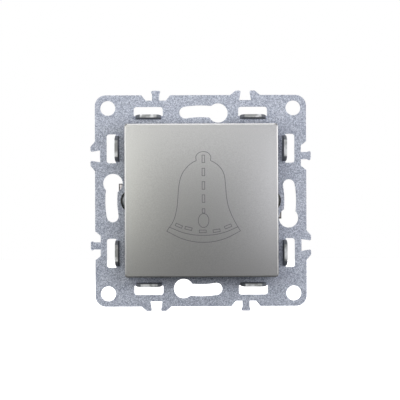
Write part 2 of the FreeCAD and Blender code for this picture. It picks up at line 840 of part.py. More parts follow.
def terminal_screw():
    """The right terminal's captive screw, its tip on the strip and its head to the rear."""
    tip = strip_back + terminal_tip_clearance
    head_back = head_floor - clamp_clearance
    head_front = head_back - terminal_head_thick
    shank = rod_y(clamp_x, clamp_z, tip, head_front, terminal_screw_r)
    head = rod_y(clamp_x, clamp_z, head_front, head_back, terminal_head_r)
    return fused([shank, slotted(head, terminal_head_r, clamp_x, clamp_z, head_back, -1)])


def claw():
    """The right claw: a bent steel strip with a rolled inner edge and teeth at its end."""
    half = claw_width / 2
    foot_front, foot_back = claw_pivot_y - claw_thick / 2, claw_pivot_y + claw_thick / 2
    profile = [
        (claw_pivot_x, foot_front, 0),
        (claw_outer_x, foot_front, claw_bend_r + claw_thick),
        (claw_outer_x, claw_end_y, 0),
        (claw_outer_x - claw_thick, claw_end_y, 0),
        (claw_outer_x - claw_thick, foot_back, claw_bend_r),
        (claw_pivot_x, foot_back, 0),
    ]
    sheet = prism("xy", profile, -half, half)
    edge = rod((claw_pivot_x, claw_pivot_y, -half), (claw_pivot_x, claw_pivot_y, half), claw_thick / 2)
    pitch = claw_width / claw_tooth_count
    root_y = claw_end_y - claw_tooth_height
    teeth = []
    for i in range(claw_tooth_count):
        low = -half + i * pitch
        gullet = [(claw_end_y, low, 0), (root_y, low + pitch / 2, 0), (claw_end_y, low + pitch, 0)]
        teeth.append(prism("yz", gullet, claw_outer_x - 2 * claw_thick, claw_outer_x + claw_thick))
    slot_half = claw_slot_width / 2
    slot_x = (claw_pivot_x + claw_slot_start, claw_pivot_x + claw_slot_end)
    slot = rectangle(slot_x, (-slot_half, slot_half), slot_half)
    cutters = teeth + [prism("xz", slot, foot_front, foot_back)]
    return fused([sheet, edge]).cut(cutters)


def claw_screw():
    """The right claw's screw, captive between the plate's hole and the cover's ear."""
    head_back = claw_screw_head_back
    head_front = head_back - claw_screw_head_thick
    head = rod_y(claw_screw_x, 0, head_front, head_back, claw_screw_head_r)
    head = bevelled(head, head_front, claw_screw_head_bevel)
    head = slotted(head, claw_screw_head_r, claw_screw_x, 0, head_front, 1)
    shank = rod_y(claw_screw_x, 0, head_back, claw_screw_end_y, claw_screw_r)
    return fused([head, bevelled(shank, claw_screw_end_y, claw_screw_tip_bevel)])


def claw_nut():
    """The right claw's barrel nut, lying against the back of the claw's foot."""
    y = claw_pivot_y + claw_thick / 2 + claw_nut_gap + claw_nut_r
    half = claw_nut_length / 2
    barrel = rod((claw_screw_x, y, -half), (claw_screw_x, y, half), claw_nut_r)
    thread_r = claw_screw_r + claw_ear_clearance
    return barrel.cut(rod_y(claw_screw_x, 0, y - claw_nut_r, y + claw_nut_r, thread_r))


def all_pieces():
    pieces = {
        "mounting_plate": mounting_plate(),
        "housing_cover": housing_cover(),
        "housing_base": housing_base(),
        "plate_rivets": plate_rivets(),
        "button_cap": button_cap(),
        "button_carrier": button_carrier(),
        "return_spring": return_spring(),
        "contact_arm": contact_arm(),
        "moving_contact": moving_contact(),
        "fixed_contact": fixed_contact(),
        "arm_pin": arm_pin(),
        "arm_spring": arm_spring(),
        "arm_terminal_strip": arm_terminal_strip(),
        "fixed_contact_strip": fixed_contact_strip(),
    }
    paired = {
        "terminal_clamp": terminal_clamp(),
        "terminal_screw": terminal_screw(),
        "claw": claw(),
        "claw_screw": claw_screw(),
        "claw_nut": claw_nut(),
    }
    for name, shape in paired.items():
        for side, copy in left_and_right(shape).items():
            pieces[name + "_" + side] = copy
    return pieces


os.makedirs("parts", exist_ok=True)
for name, shape in all_pieces().items():
    shape.exportStep("parts/" + name + ".step")
    print(name, len(shape.Solids), "solids", round(shape.Volume, 2), "mm3", shape.isValid())
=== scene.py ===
# A flush-mounted doorbell push button, dressed for a studio picture: a galvanised mounting plate, a
# satin silver push cap with a thin-line bell sign, a dark moulded housing, and zinc claws and screws.
#
# Lengths below are in millimetres, and MM turns them into Blender's metres. X points right, Y away
# from the camera into the wall, and Z up, with the origin in the middle of the plate's back face.

import math

import bpy
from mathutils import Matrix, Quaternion, Vector


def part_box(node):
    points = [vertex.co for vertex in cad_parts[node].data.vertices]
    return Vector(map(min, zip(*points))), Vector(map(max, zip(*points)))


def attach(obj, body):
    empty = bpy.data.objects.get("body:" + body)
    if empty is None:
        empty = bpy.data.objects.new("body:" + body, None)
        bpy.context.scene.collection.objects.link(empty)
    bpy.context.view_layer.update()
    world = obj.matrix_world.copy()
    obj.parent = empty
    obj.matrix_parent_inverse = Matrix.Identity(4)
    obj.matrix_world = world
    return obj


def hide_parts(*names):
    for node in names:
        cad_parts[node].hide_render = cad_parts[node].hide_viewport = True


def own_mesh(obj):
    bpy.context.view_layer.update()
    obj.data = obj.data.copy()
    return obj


MM = 0.001

# Camera: a long lens a little left of the part and below it, as in the photograph
camera_distance = 800.0
camera_from_left = 1.3
camera_from_below = 0.8
camera_roll = -0.25
camera_sensor = 36.0
frame_width = 134.2
aim_x = -0.27
aim_z = 0.24

# Cap: crown of its front, rounded edges and the grid that carries the crown
cap_crown = 0.4
cap_wall = 1.4
cap_corner_round = 1.0
cap_edge_round = 0.45
cap_round_segments = 5
cap_edge_guard = 0.15
cap_grid = 24
cap_smooth_angle = 35

# Inside the cap: the ribs that rest on the carrier and the hooks that snap behind it
cap_inside_y = -9.2
carrier_front_y = -8.6
carrier_back_y = -7.0
sunk = 0.1
rib_half = 15.6
rib_thick = 1.2
hook_x = 10.0
hook_width = 6.0
hook_inner_z = 19.15
hook_thick = 1.2
hook_play = 0.05
hook_lip = 0.7
hook_lip_height = 0.8

# Bell sign, printed on the cap a little right of its middle
sign_x = 0.64
sign_line = 0.2
sign_proud = 0.012

# Bell's smooth strokes in X and Z: its left and right sides, both lines of its rim and its crown
bell_strokes = (
    ((-2.4, 13.1), (-3.6, 12.5), (-5.6, 10.8), (-7.1, 8.6), (-8.1, 5.0), (-8.5, 0.6), (-8.9, -2.9),
     (-10.0, -6.8), (-12.2, -10.2)),
    ((2.4, 13.1), (3.6, 12.5), (5.6, 10.8), (6.8, 8.6), (7.3, 5.0), (7.7, 0.6), (8.5, -2.9),
     (10.2, -6.8), (12.2, -10.2)),
    ((-12.2, -10.2), (-6.5, -12.9), (0.0, -13.9), (6.5, -12.9), (12.2, -10.2)),
    ((-11.5, -8.8), (-6.0, -10.9), (0.0, -11.6), (6.0, -10.9), (11.5, -8.8)),
    ((-2.4, 13.1), (-2.3, 14.9), (0.0, 16.1), (2.3, 14.9), (2.4, 13.1)),
)

# Hollow dashes, each with the X and Z of its middle, its length and its turn from upright in
# degrees: five down the bell's middle, then five along its rim
dash_width = 0.86
bell_dashes = (
    (0, 13.7, 2.5, 0),
    (0, 9.35, 2.5, 0),
    (0, 4.9, 2.5, 0),
    (0, 0.55, 2.5, 0),
    (0, -3.5, 1.4, 0),
    (-8.2, -8.4, 2.3, 66),
    (-5.0, -9.3, 2.3, 76),
    (-0.3, -10.3, 2.3, 90),
    (4.3, -10.1, 2.3, 99),
    (8.1, -8.7, 2.3, 112),
)

# Bell's oval clapper: the height of its middle and its half sizes
clapper_z = -6.7
clapper_half_width = 1.76
clapper_half_height = 2.3
clapper_corners = 24

# Galvanised plate: size of the zinc's grains and clouds, the clouds' share, where the tabs bend
# forward and end, and the size of the patches on their sheared tips
zinc_grain = 0.24
zinc_cloud = 2.5
cloud_share = 0.1
tab_foot_y = -1.2
tab_foot_fade = 0.3
tab_tip_y = -3.75
tab_tip_fade = 0.1
tip_patch = 2.4

# Grain of the other finishes, the wire's also for the small contacts
lacquer_flake = 0.25
plastic_grain = 0.4
metal_grain = 0.25
wire_grain = 0.2
ink_grain = 1 / 3

# Claws: how far the painted shade round their screws reaches, for the shadowed gap there, the width
# of the painted shade along their edges, and how far behind their front the bent leg starts, which has
# none
painted_shade_r = 4.4
painted_shade_fade = 0.3
claw_shade_edge = 0.3
claw_shade_edge_fade = 0.1
claw_bend = 1.3

# Screw threads: for each screw the shank's radius, the pitch, and how far from its two ends the
# thread starts and stops; and the share of the pitch that the ridge fills
threads = {
    "claw_screw": (1.5, 0.5, 5.0, 0.6),
    "terminal_screw": (1.75, 0.6, 0.3, 2.6),
}
thread_fill = 0.8
thread_steps = 16

# Coil springs: for each the wire's diameter, the turns between its two closed end turns, the joint
# that presses it, and how much shorter that makes it
springs = {
    "return_spring": (0.5, 4.5, "button_press", 1.12),
    "arm_spring": (0.35, 3.0, "contact_swing", 0.7),
}
spring_steps = 24
spring_smooth_angle = 50

# Small bevels that stamping and moulding leave on edges sharper than an angle in degrees
plate_bevel = 0.36
moulding_bevel = 0.2
sheet_bevel = 0.12
bevel_angle = 40
bevel_segments = 2

# Facets along a smooth stroke and round a line or wire, the distances within which points are one
# and a point is on an edge, and how well a face's normal has to agree with a direction
stroke_steps = 8
line_resolution = 2
same_place = 0.001
near = 0.01
facing = 0.999

# Stage: small soft boxes close to the part, so that their reflection falls off across the cap, and
# large panels at its sides and above it, which draw the bright lines along its edges.
# Each has its azimuth in degrees, less than 0 on the left, its elevation in degrees, its distance,
# its size, its power in watts and its tint.
soft_boxes = {
    "left_box": (-21, 4, 180, 60, 0.043, "FFFFF5"),
    "upper_left_box": (-24, 12, 180, 60, 0.02, "FFFFFA"),
    "right_box": (21, 4, 180, 60, 0.037, "FAFAFF"),
    "upper_box": (0, 17, 180, 60, 0.024, "FFFFFF"),
    "left_panel": (-75, 10, 700, 400, 2.03, "FFFFFF"),
    "right_panel": (75, 10, 700, 400, 2.14, "FFFFFF"),
    "front_right_panel": (45, 10, 700, 400, 0.76, "FFFFFF"),
    "top_panel": (0, 80, 700, 400, 2.0, "FFFFFF"),
}

# Floor: its size, the grey that it throws back onto the part, and the tone that the camera sees
floor_size = 3000.0
floor_bounce = "6C6C6C"
floor_seen = "EEEEEE"

# Surround: its light in front of the part and behind it, and the Y of the directions between
studio_front = 0.0
studio_back = 0.95
studio_turn = (-0.1, 0.25)


def linear(hex_colour):
    """A colour written as sRGB hex, as the linear values that Blender takes."""
    values = []
    for i in (0, 2, 4):
        v = int(hex_colour[i:i + 2], 16) / 255
        values.append(v / 12.92 if v <= 0.04045 else ((v + 0.055) / 1.055) ** 2.4)
    return (*values, 1.0)


def add_node(tree, kind, links=None, **settings):
    """Adds a node with its settings, and links each named input from an output socket."""
    node = tree.nodes.new(kind)
    for name, value in settings.items():
        if name in node.inputs:
            node.inputs[name].default_value = value
        else:
            setattr(node, name, value)
    for name, source in (links or {}).items():
        tree.links.new(source, node.inputs[name])
    return node


def new_material(name):
    """An empty node material with its output, shader and object coordinates."""
    material = bpy.data.materials.new(name)
    material.use_nodes = True
    tree = material.node_tree
    tree.nodes.clear()
    output = add_node(tree, "ShaderNodeOutputMaterial")
    shader = add_node(tree, "ShaderNodeBsdfPrincipled")
    tree.links.new(shader.outputs["BSDF"], output.inputs["Surface"])
    place = add_node(tree, "ShaderNodeTexCoord").outputs["Object"]
    return material, tree, shader, place


def noise(tree, place, size, detail=2.0):
    """A noise with patches of a size in mm."""
    node = add_node(tree, "ShaderNodeTexNoise", {"Vector": place}, Scale=1 / (size * MM), Detail=detail)
    return node.outputs["Fac"]


def two_tones(tree, value, dark, light, low=0.3, high=0.7):
    """A colour that goes from a dark to a light tone while a value goes from low to high."""
    tone = add_node(tree, "ShaderNodeValToRGB", {"Fac": value})
    for element, position, colour in zip(tone.color_ramp.elements, (low, high), (dark, light)):
        element.position = position
        element.color = linear(colour)
    return tone.outputs["Color"]


def ramp(tree, value, start, end, low=0.0, high=1.0):
    """A value that goes from low to high while another goes from start to end."""
    node = add_node(tree, "ShaderNodeMapRange", {"Value": value},
                    **{"From Min": start, "From Max": end, "To Min": low, "To Max": high})
    return node.outputs["Result"]


def blend(tree, share, first, second):
    """A mix of two colours by a share. Each colour is sRGB hex or an output socket."""
    node = add_node(tree, "ShaderNodeMix", {0: share}, data_type="RGBA")
    for i, colour in ((6, first), (7, second)):
        if isinstance(colour, str):
            node.inputs[i].default_value = linear(colour)
        else:
            tree.links.new(colour, node.inputs[i])
    return node.outputs[2]


def combine(tree, operation, first, second):
    """Two values put together by an operation."""
    return add_node(tree, "ShaderNodeMath", {0: first, 1: second}, operation=operation).outputs["Value"]


def vector_step(tree, operation, vector, constant=(0, 0, 0)):
    """A node that works on a vector, with a constant one where the operation takes two."""
    node = add_node(tree, "ShaderNodeVectorMath", {0: vector}, operation=operation)
    node.inputs[1].default_value = constant
    return node


def split_axes(tree, vector):
    """A vector's X, Y and Z as three output sockets."""
    return add_node(tree, "ShaderNodeSeparateXYZ", {"Vector": vector}).outputs


def relief(tree, shader, height, strength, depth):
    """Gives a surface fine bumps of a depth in mm."""
    bump = add_node(tree, "ShaderNodeBump", {"Height": height}, Strength=strength, Distance=depth * MM)
    tree.links.new(bump.outputs["Normal"], shader.inputs["Normal"])


def galvanised_steel():
    """Hot-dip galvanised sheet: lilac-grey zinc in small matt grains, with faint larger clouds. Its
    bent tabs carry painted shade, dark grey from the bend forward, and their sheared tips show bare
    steel with a painted highlight, bright in places."""
    material, tree, shader, place = new_material("galvanised_steel")
    cells = add_node(tree, "ShaderNodeTexVoronoi", {"Vector": place}, Scale=1 / (zinc_grain * MM))
    grain = add_node(tree, "ShaderNodeSeparateColor", {"Color": cells.outputs["Color"]}).outputs["Red"]
    clouds = noise(tree, place, zinc_cloud, detail=3.0)
    both = add_node(tree, "ShaderNodeMix", {"A": grain, "B": clouds}, Factor=cloud_share)
    zinc = two_tones(tree, both.outputs["Result"], "949CB1", "E6EBF8", low=0.1, high=0.9)
    depth = split_axes(tree, place)["Y"]
    bent = ramp(tree, depth, tab_foot_y * MM, (tab_foot_y - tab_foot_fade) * MM)
    # Painted shade: the zinc turns dark grey where the tabs bend forward
    shaded_tabs = blend(tree, bent, zinc, "6A6E76")
    tip = ramp(tree, depth, tab_tip_y * MM, (tab_tip_y - tab_tip_fade) * MM)
    patches = noise(tree, place, tip_patch)
    # Bare steel on the sheared tips, lightened in patches towards near white as a painted highlight
    bare_and_highlight = two_tones(tree, patches, "A6A8A9", "F0F2F4", low=0.4, high=0.6)
    tree.links.new(blend(tree, tip, shaded_tabs, bare_and_highlight), shader.inputs["Base Color"])
    tree.links.new(ramp(tree, grain, 0, 1, low=0.75, high=0.6), shader.inputs["Roughness"])
    relief(tree, shader, grain, strength=0.12, depth=0.05)
    shader.inputs["Metallic"].default_value = 0.15
    return material


def satin_silver_lacquer():
    """Aluminium-silver lacquer on a moulded cap: fine flakes under a satin surface."""
    material, tree, shader, place = new_material("satin_silver_lacquer")
    flakes = noise(tree, place, lacquer_flake, detail=1.0)
    tree.links.new(two_tones(tree, flakes, "A1A1A1", "ADADAD"), shader.inputs["Base Color"])
    relief(tree, shader, flakes, strength=0.05, depth=0.02)
    shader.inputs["Metallic"].default_value = 0.8
    shader.inputs["Roughness"].default_value = 0.3
    return material


def moulded_plastic(name, dark, light, roughness):
    """A moulded plastic with a fine eroded texture, between two close tones."""
    material, tree, shader, place = new_material(name)
    grain = noise(tree, place, plastic_grain)
    tree.links.new(two_tones(tree, grain, dark, light), shader.inputs["Base Color"])
    relief(tree, shader, grain, strength=0.15, depth=0.05)
    shader.inputs["Roughness"].default_value = roughness
    shader.inputs["IOR"].default_value = 1.5
    return material


def plated_metal(name, dark, light, roughness, grain_size=metal_grain, metallic=1.0):
    """A rolled or plated metal with faint streaks along Z, as wide as its grain."""
    material, tree, shader, place = new_material(name)
    stretched = add_node(tree, "ShaderNodeMapping", {"Vector": place}, Scale=(1.0, 1.0, 0.2))
    grain = noise(tree, stretched.outputs["Vector"], grain_size)
    tree.links.new(two_tones(tree, grain, dark, light), shader.inputs["Base Color"])
    dull = ramp(tree, grain, 0, 1, low=0.8 * roughness, high=1.2 * roughness)
    tree.links.new(dull, shader.inputs["Roughness"])
    shader.inputs["Metallic"].default_value = metallic
    return material


def claw_plating_and_shade(side):
    """Pale, slightly warm passivated zinc on a claw. Its foot carries painted shade: a dark ring round
    the screw for the shadowed gap there, and dark bands along its edges."""
    name = "shaded_passivated_zinc_" + side
    material = plated_metal(name, "A8A3A2", "D2CCCA", roughness=0.45, metallic=0.4)
    tree = material.node_tree
    place = tree.nodes["Texture Coordinate"].outputs["Object"]
    zinc = tree.nodes["Color Ramp"].outputs["Color"]
    screw_low, screw_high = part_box("claw_screw_" + side)
    screw = ((screw_low.x + screw_high.x) / 2, 0, (screw_low.z + screw_high.z) / 2)
    # Painted shade: a dark ring round the screw, standing for the shadowed gap between the plate and the
    # claw
    flat = vector_step(tree, "MULTIPLY", place, (1, 0, 1)).outputs["Vector"]
    away = vector_step(tree, "DISTANCE", flat, screw).outputs["Value"]
    unshaded = ramp(tree, away, painted_shade_r * MM, (painted_shade_r + painted_shade_fade) * MM)
    # Painted shade along the foot's outer edges, for its dark outline in shade
    low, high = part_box("claw_" + side)
    centred = vector_step(tree, "SUBTRACT", place, (0, 0, (low.z + high.z) / 2)).outputs["Vector"]
    outward = split_axes(tree, vector_step(tree, "ABSOLUTE", centred).outputs["Vector"])
    for axis, edge in (("X", max(-low.x, high.x)), ("Z", (high.z - low.z) / 2)):
        dark_from = edge - claw_shade_edge * MM
        inside = ramp(tree, outward[axis], dark_from, dark_from - claw_shade_edge_fade * MM)
        unshaded = combine(tree, "MULTIPLY", unshaded, inside)
    # The bent leg behind the foot stays free of the painted shade
    bend_y = low.y + claw_bend * MM
    leg = ramp(tree, split_axes(tree, place)["Y"], bend_y, bend_y + claw_shade_edge_fade * MM)
    unshaded = combine(tree, "MAXIMUM", unshaded, leg)
    shader = tree.nodes["Principled BSDF"]
    # Near-black painted shade where the mask is 0, the pale zinc elsewhere
    tree.links.new(blend(tree, unshaded, "161617", zinc), shader.inputs["Base Color"])
    return material


def sign_ink():
    """Dark grey pad-printed ink."""
    material, tree, shader, place = new_material("sign_ink")
    tone = two_tones(tree, noise(tree, place, ink_grain), "5A5B5E", "6C6D70", low=0.0, high=1.0)
    tree.links.new(tone, shader.inputs["Base Color"])
    shader.inputs["Roughness"].default_value = 0.6
    return material


def finish(piece, material):
    piece.data.materials.clear()
    piece.data.materials.append(material)


def soften(piece, width):
    """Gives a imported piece's edges a narrow rounding with live modifiers."""
    weld = piece.modifiers.new("weld", "WELD")
    weld.merge_threshold = same_place * MM
    bevel = piece.modifiers.new("edges", "BEVEL")
    bevel.width = width * MM
    bevel.segments = bevel_segments
    bevel.limit_method = "ANGLE"
    bevel.angle_limit = math.radians(bevel_angle)


def deselect_all():
    if bpy.context.object and bpy.context.object.mode != "OBJECT":
        bpy.ops.object.mode_set(mode="OBJECT")
    bpy.ops.object.select_all(action="DESELECT")


def select_only(piece):
    """Leaves one piece selected and active."""
    deselect_all()
    piece.select_set(True)
    bpy.context.view_layer.objects.active = piece


def apply_place():
    """Puts the selected piece's place, turn and scale into its mesh."""
    bpy.ops.object.transform_apply(location=True, rotation=True, scale=True)


def on_whole_mesh(operator, **settings):
    """Runs an edit-mode operator on all of the active piece's mesh."""
    bpy.ops.object.mode_set(mode="EDIT")
    bpy.ops.mesh.select_all(action="SELECT")
    operator(**settings)
    bpy.ops.object.mode_set(mode="OBJECT")


def clear_selection(piece, edges):
    """Leaves nothing in a piece's mesh selected, with the selection of edges or of faces on."""
    bpy.ops.object.mode_set(mode="OBJECT")
    bpy.context.tool_settings.mesh_select_mode = (False, edges, not edges)
    for elements in (piece.data.vertices, piece.data.edges, piece.data.polygons):
        elements.foreach_set("select", [False] * len(elements))


def select_faces(piece, test):
    """Leaves just the faces that pass a test of centre and normal selected, in edit mode."""
    clear_selection(piece, False)
    for face in piece.data.polygons:
        face.select = test(face.center, face.normal)
    bpy.ops.object.mode_set(mode="EDIT")


def select_edges(piece, test):
    """Leaves just the edges whose two ends pass a test selected, in edit mode."""
    clear_selection(piece, True)
    points = [vertex.co.copy() for vertex in piece.data.vertices]
    for edge in piece.data.edges:
        edge.select = test(points[edge.vertices[0]], points[edge.vertices[1]])
    bpy.ops.object.mode_set(mode="EDIT")


def new_block(name, low, high):
    """A block between two corners in metres, its place in its mesh."""
    deselect_all()
    low, high = Vector(low), Vector(high)
    bpy.ops.mesh.primitive_cube_add(size=1, location=(low + high) / 2)
    piece = bpy.context.object
    piece.name = name
    piece.scale = high - low
    apply_place()
    return piece


def unite(piece, additions):
    """Joins more solids to a piece by exact unions."""
    for addition in additions:
        union = piece.modifiers.new("union", "BOOLEAN")
        union.operation = "UNION"
        union.solver = "EXACT"
        union.object = addition
        select_only(piece)
        bpy.ops.object.modifier_apply(modifier=union.name)
        bpy.data.objects.remove(addition)


def cap_ribs():
    """A square ring of ribs on the cap's inside."""
    half = rib_half * MM
    low = (-half, (cap_inside_y - sunk) * MM, -half)
    high = (half, carrier_front_y * MM, half)
    ring = new_block("cap_ribs", low, high)
    select_faces(ring, lambda centre, normal: abs(normal.y) > facing)
    bpy.ops.mesh.inset(thickness=rib_thick * MM, use_individual=True)
    bpy.ops.mesh.bridge_edge_loops()
    bpy.ops.object.mode_set(mode="OBJECT")
    return ring


def cap_hook():
    """One hook with a wedge-shaped lip, in the middle of the cap's top."""
    lip_y = carrier_back_y + hook_play
    low = Vector((-hook_width / 2, cap_inside_y - sunk, hook_inner_z)) * MM
    high = Vector((hook_width / 2, lip_y + hook_lip_height, hook_inner_z + hook_thick)) * MM
    hook = new_block("cap_hook", low, high)
    on_whole_mesh(bpy.ops.mesh.bisect, plane_co=(0, lip_y * MM, 0), plane_no=(0, 1, 0))
    select_faces(hook, lambda centre, normal: normal.z < -facing and centre.y > lip_y * MM)
    bpy.ops.mesh.extrude_region_move(TRANSFORM_OT_translate={"value": (0, 0, -hook_lip * MM)})
    lip_back, inner = high.y - near * MM, low.z - near * MM
    select_edges(hook, lambda a, b: min(a.y, b.y) > lip_back and max(a.z, b.z) < inner)
    bpy.ops.transform.translate(value=(0, 0, hook_lip * MM))
    on_whole_mesh(bpy.ops.mesh.remove_doubles, threshold=same_place * MM)
    return hook


def cap_hooks():
    """Four hooks, two at the cap's top and two at its bottom."""
    pattern = cap_hook()
    hooks = []
    for x in (-hook_x, hook_x):
        for turn in (0, math.pi):
            hook = pattern.copy()
            hook.data = pattern.data.copy()
            bpy.context.scene.collection.objects.link(hook)
            hook.location.x = x * MM
            hook.rotation_euler.y = turn
            select_only(hook)
            apply_place()
            hooks.append(hook)
    bpy.data.objects.remove(pattern)
    return hooks


def crown_depth(x, z, half):
    """How far the cap's crowned front lies behind its middle, at a place across it."""
    return cap_crown * MM * (x * x + z * z) / (2 * half * half)


def push_cap():
    """The cap's hollow shell with rounded edges and a crowned front."""
    low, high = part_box("button_cap")
    half = (high.x - low.x) / 2
    corner = half - near * MM
    front = low.y + sign_proud * MM
    shell = new_block("cap_shell", (low.x, front, low.z), high)
    select_faces(shell, lambda centre, normal: normal.y > facing)
    bpy.ops.mesh.inset(thickness=cap_wall * MM)
    depth = high.y - cap_inside_y * MM
    bpy.ops.mesh.extrude_region_move(TRANSFORM_OT_translate={"value": (0, -depth, 0)})
    select_edges(shell, lambda a, b: abs(a.y - b.y) > MM and min(abs(a.x), abs(a.z)) > corner)
    bpy.ops.mesh.bevel(offset=cap_corner_round * MM, segments=cap_round_segments, affect="EDGES")
    select_edges(shell, lambda a, b: max(abs(a.y - front), abs(b.y - front)) < near * MM)
    bpy.ops.mesh.bevel(offset=cap_edge_round * MM, segments=cap_round_segments, affect="EDGES")
    select_faces(shell, lambda centre, normal: normal.y < -facing)
    bpy.ops.mesh.inset(thickness=cap_edge_guard * MM)
    for i in range(1, cap_grid):
        at = (2 * i / cap_grid - 1) * half
        for cut in ((1, 0, 0), (0, 0, 1)):
            select_faces(shell, lambda centre, normal: normal.y < -facing)
            bpy.ops.mesh.bisect(plane_co=(at, 0, at), plane_no=cut)
    bpy.ops.object.mode_set(mode="OBJECT")
    for vertex in shell.data.vertices:
        if vertex.co.y < front + 2 * cap_edge_round * MM:
            vertex.co.y += crown_depth(vertex.co.x, vertex.co.z, half)
    unite(shell, [cap_ribs()] + cap_hooks())
    bpy.ops.object.shade_smooth_by_angle(angle=math.radians(cap_smooth_angle))
    return shell


def closed_line(curve, points):
    """A closed stroke with straight runs between the points given."""
    spline = curve.splines.new("POLY")
    spline.points.add(len(points) - 1)
    for point, (x, z) in zip(spline.points, points):
        point.co = (x * MM, z * MM, 0, 1)
    spline.use_cyclic_u = True


def smooth_line(curve, points):
    """A smooth open stroke through the points given."""
    spline = curve.splines.new("BEZIER")
    spline.bezier_points.add(len(points) - 1)
    for point, (x, z) in zip(spline.bezier_points, points):
        point.co = (x * MM, z * MM, 0)
        point.handle_left_type = "AUTO"
        point.handle_right_type = "AUTO"


def hollow_dash(curve, x, z, length, turn):
    """A small outlined dash with its middle at a place, turned from upright by an angle."""
    c, s = math.cos(math.radians(turn)), math.sin(math.radians(turn))
    corners = [(-dash_width / 2, -length / 2), (dash_width / 2, -length / 2),
               (dash_width / 2, length / 2), (-dash_width / 2, length / 2)]
    closed_line(curve, [(x + a * c - b * s, z + a * s + b * c) for a, b in corners])


def round_curve(name, dimensions, width):
    """An empty curve of round section with closed ends."""
    curve = bpy.data.curves.new(name, "CURVE")
    curve.dimensions = dimensions
    curve.bevel_depth = width / 2 * MM
    curve.bevel_resolution = line_resolution
    curve.use_fill_caps = True
    return curve


def as_mesh(name, curve):
    """A curve made into a closed mesh piece of its own."""
    piece = bpy.data.objects.new(name, curve)
    bpy.context.scene.collection.objects.link(piece)
    select_only(piece)
    bpy.ops.object.convert(target="MESH")
    on_whole_mesh(bpy.ops.mesh.remove_doubles, threshold=same_place * MM)
    return bpy.context.object


def bell_sign():
    """The bell's outline and rim, its dashes and its clapper, as flat lines on the cap's crown."""
    curve = round_curve("bell_sign", "2D", sign_line)
    curve.fill_mode = "NONE"
    curve.resolution_u = stroke_steps
    for stroke in bell_strokes:
        smooth_line(curve, stroke)
    for dash in bell_dashes:
        hollow_dash(curve, *dash)
    turns = [2 * math.pi * i / clapper_corners for i in range(clapper_corners)]
    closed_line(curve, [(clapper_half_width * math.sin(a), clapper_z + clapper_half_height * math.cos(a))
                        for a in turns])
    sign = as_mesh("bell_sign", curve)
    low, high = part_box("button_cap")
    half = (high.x - low.x) / 2
    sign.rotation_euler = (math.pi / 2, 0, 0)
    sign.scale = (1, 1, 2 * sign_proud / sign_line)
    sign.location = (sign_x * MM, low.y + sign_proud * MM, 0)
    apply_place()
    for vertex in sign.data.vertices:
        vertex.co.y += crown_depth(vertex.co.x, vertex.co.z, half)
    return sign


def coil_spring(name):
    """A spring of round wire wound along Y, with a closed turn at each end."""
    wire, turns, joint, squeeze = springs[name]
    low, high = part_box(name)
    length = high.y - low.y
    radius = (high.x - low.x) / 2 - wire / 2 * MM
    climb = length - 3 * wire * MM
    curve = round_curve(name + "_coil", "3D", wire)
    spline = curve.splines.new("POLY")
    spline.points.add(int((turns + 2) * spring_steps))
    for i, point in enumerate(spline.points):
        turn = i / spring_steps
        angle = 2 * math.pi * turn
        closed = min(turn, 1) + max(turn - 1 - turns, 0) + 0.5
        wound = min(max(turn - 1, 0), turns) / turns
        point.co = ((low.x + high.x) / 2 + radius * math.cos(angle),
                    low.y + closed * wire * MM + wound * climb,
                    (low.z + high.z) / 2 - radius * math.sin(angle), 1)
    spring = as_mesh(name + "_coil", curve)
    bpy.ops.object.shade_smooth_by_angle(angle=math.radians(spring_smooth_angle))
    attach(spring, "insert")
    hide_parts(name)
    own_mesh(spring)
    return spring


def screw_thread(screw, side):
    """A screw's right-hand thread: a ridge of diamond section wound round its shank along Y."""
    radius, pitch, start, stop = threads[screw]
    low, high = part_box(screw + "_" + side)
    deselect_all()
    bpy.ops.mesh.primitive_circle_add(vertices=4, radius=pitch / 2 * thread_fill * MM)
    ridge = bpy.context.object
    ridge.name = screw + "_thread_" + side
    on_whole_mesh(bpy.ops.transform.translate, value=(radius * MM, 0, 0))
    wind = ridge.modifiers.new("wind", "SCREW")
    wind.axis = "Y"
    wind.screw_offset = pitch * MM
    wind.iterations = int(((high.y - low.y) / MM - start - stop) / pitch)
    wind.steps = thread_steps
    bpy.ops.object.modifier_apply(modifier=wind.name)
    on_whole_mesh(bpy.ops.mesh.fill_holes, sides=4)
    on_whole_mesh(bpy.ops.mesh.normals_make_consistent, inside=False)
    ridge.location = ((low.x + high.x) / 2, low.y + start * MM, (low.z + high.z) / 2)
    apply_place()
    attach(ridge, screw + "_body_" + side)
    return ridge


def add_floor():
    """A pale floor under the part, white to the camera and grey to the part's reflections."""
    deselect_all()
    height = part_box("mounting_plate")[0].z
    bpy.ops.mesh.primitive_plane_add(size=floor_size * MM, location=(0, 0, height))
    floor = bpy.context.object
    floor.name = "floor"
    material, tree, shader, place = new_material("pale_floor")
    camera_sees = add_node(tree, "ShaderNodeLightPath").outputs["Is Camera Ray"]
    tree.links.new(blend(tree, camera_sees, floor_bounce, floor_seen), shader.inputs["Base Color"])
    tree.links.new(camera_sees, shader.inputs["Emission Strength"])
    shader.inputs["Emission Color"].default_value = (1, 1, 1, 1)
    shader.inputs["Roughness"].default_value = 0.8
    finish(floor, material)


def add_surround():
    """A surround that is white to the camera and lights the part from behind."""
    world = bpy.data.worlds.new("studio")
    bpy.context.scene.world = world
    world.use_nodes = True
    tree = world.node_tree
    tree.nodes.clear()
    camera_sees = add_node(tree, "ShaderNodeLightPath").outputs["Is Camera Ray"]
    way = add_node(tree, "ShaderNodeTexCoord").outputs["Generated"]
    behind = ramp(tree, split_axes(tree, way)["Y"], *studio_turn, studio_front, studio_back)
    strength = combine(tree, "MAXIMUM", camera_sees, behind)
    white = add_node(tree, "ShaderNodeBackground", {"Strength": strength}, Color=(1, 1, 1, 1))
    output = add_node(tree, "ShaderNodeOutputWorld")
    tree.links.new(white.outputs["Background"], output.inputs["Surface"])


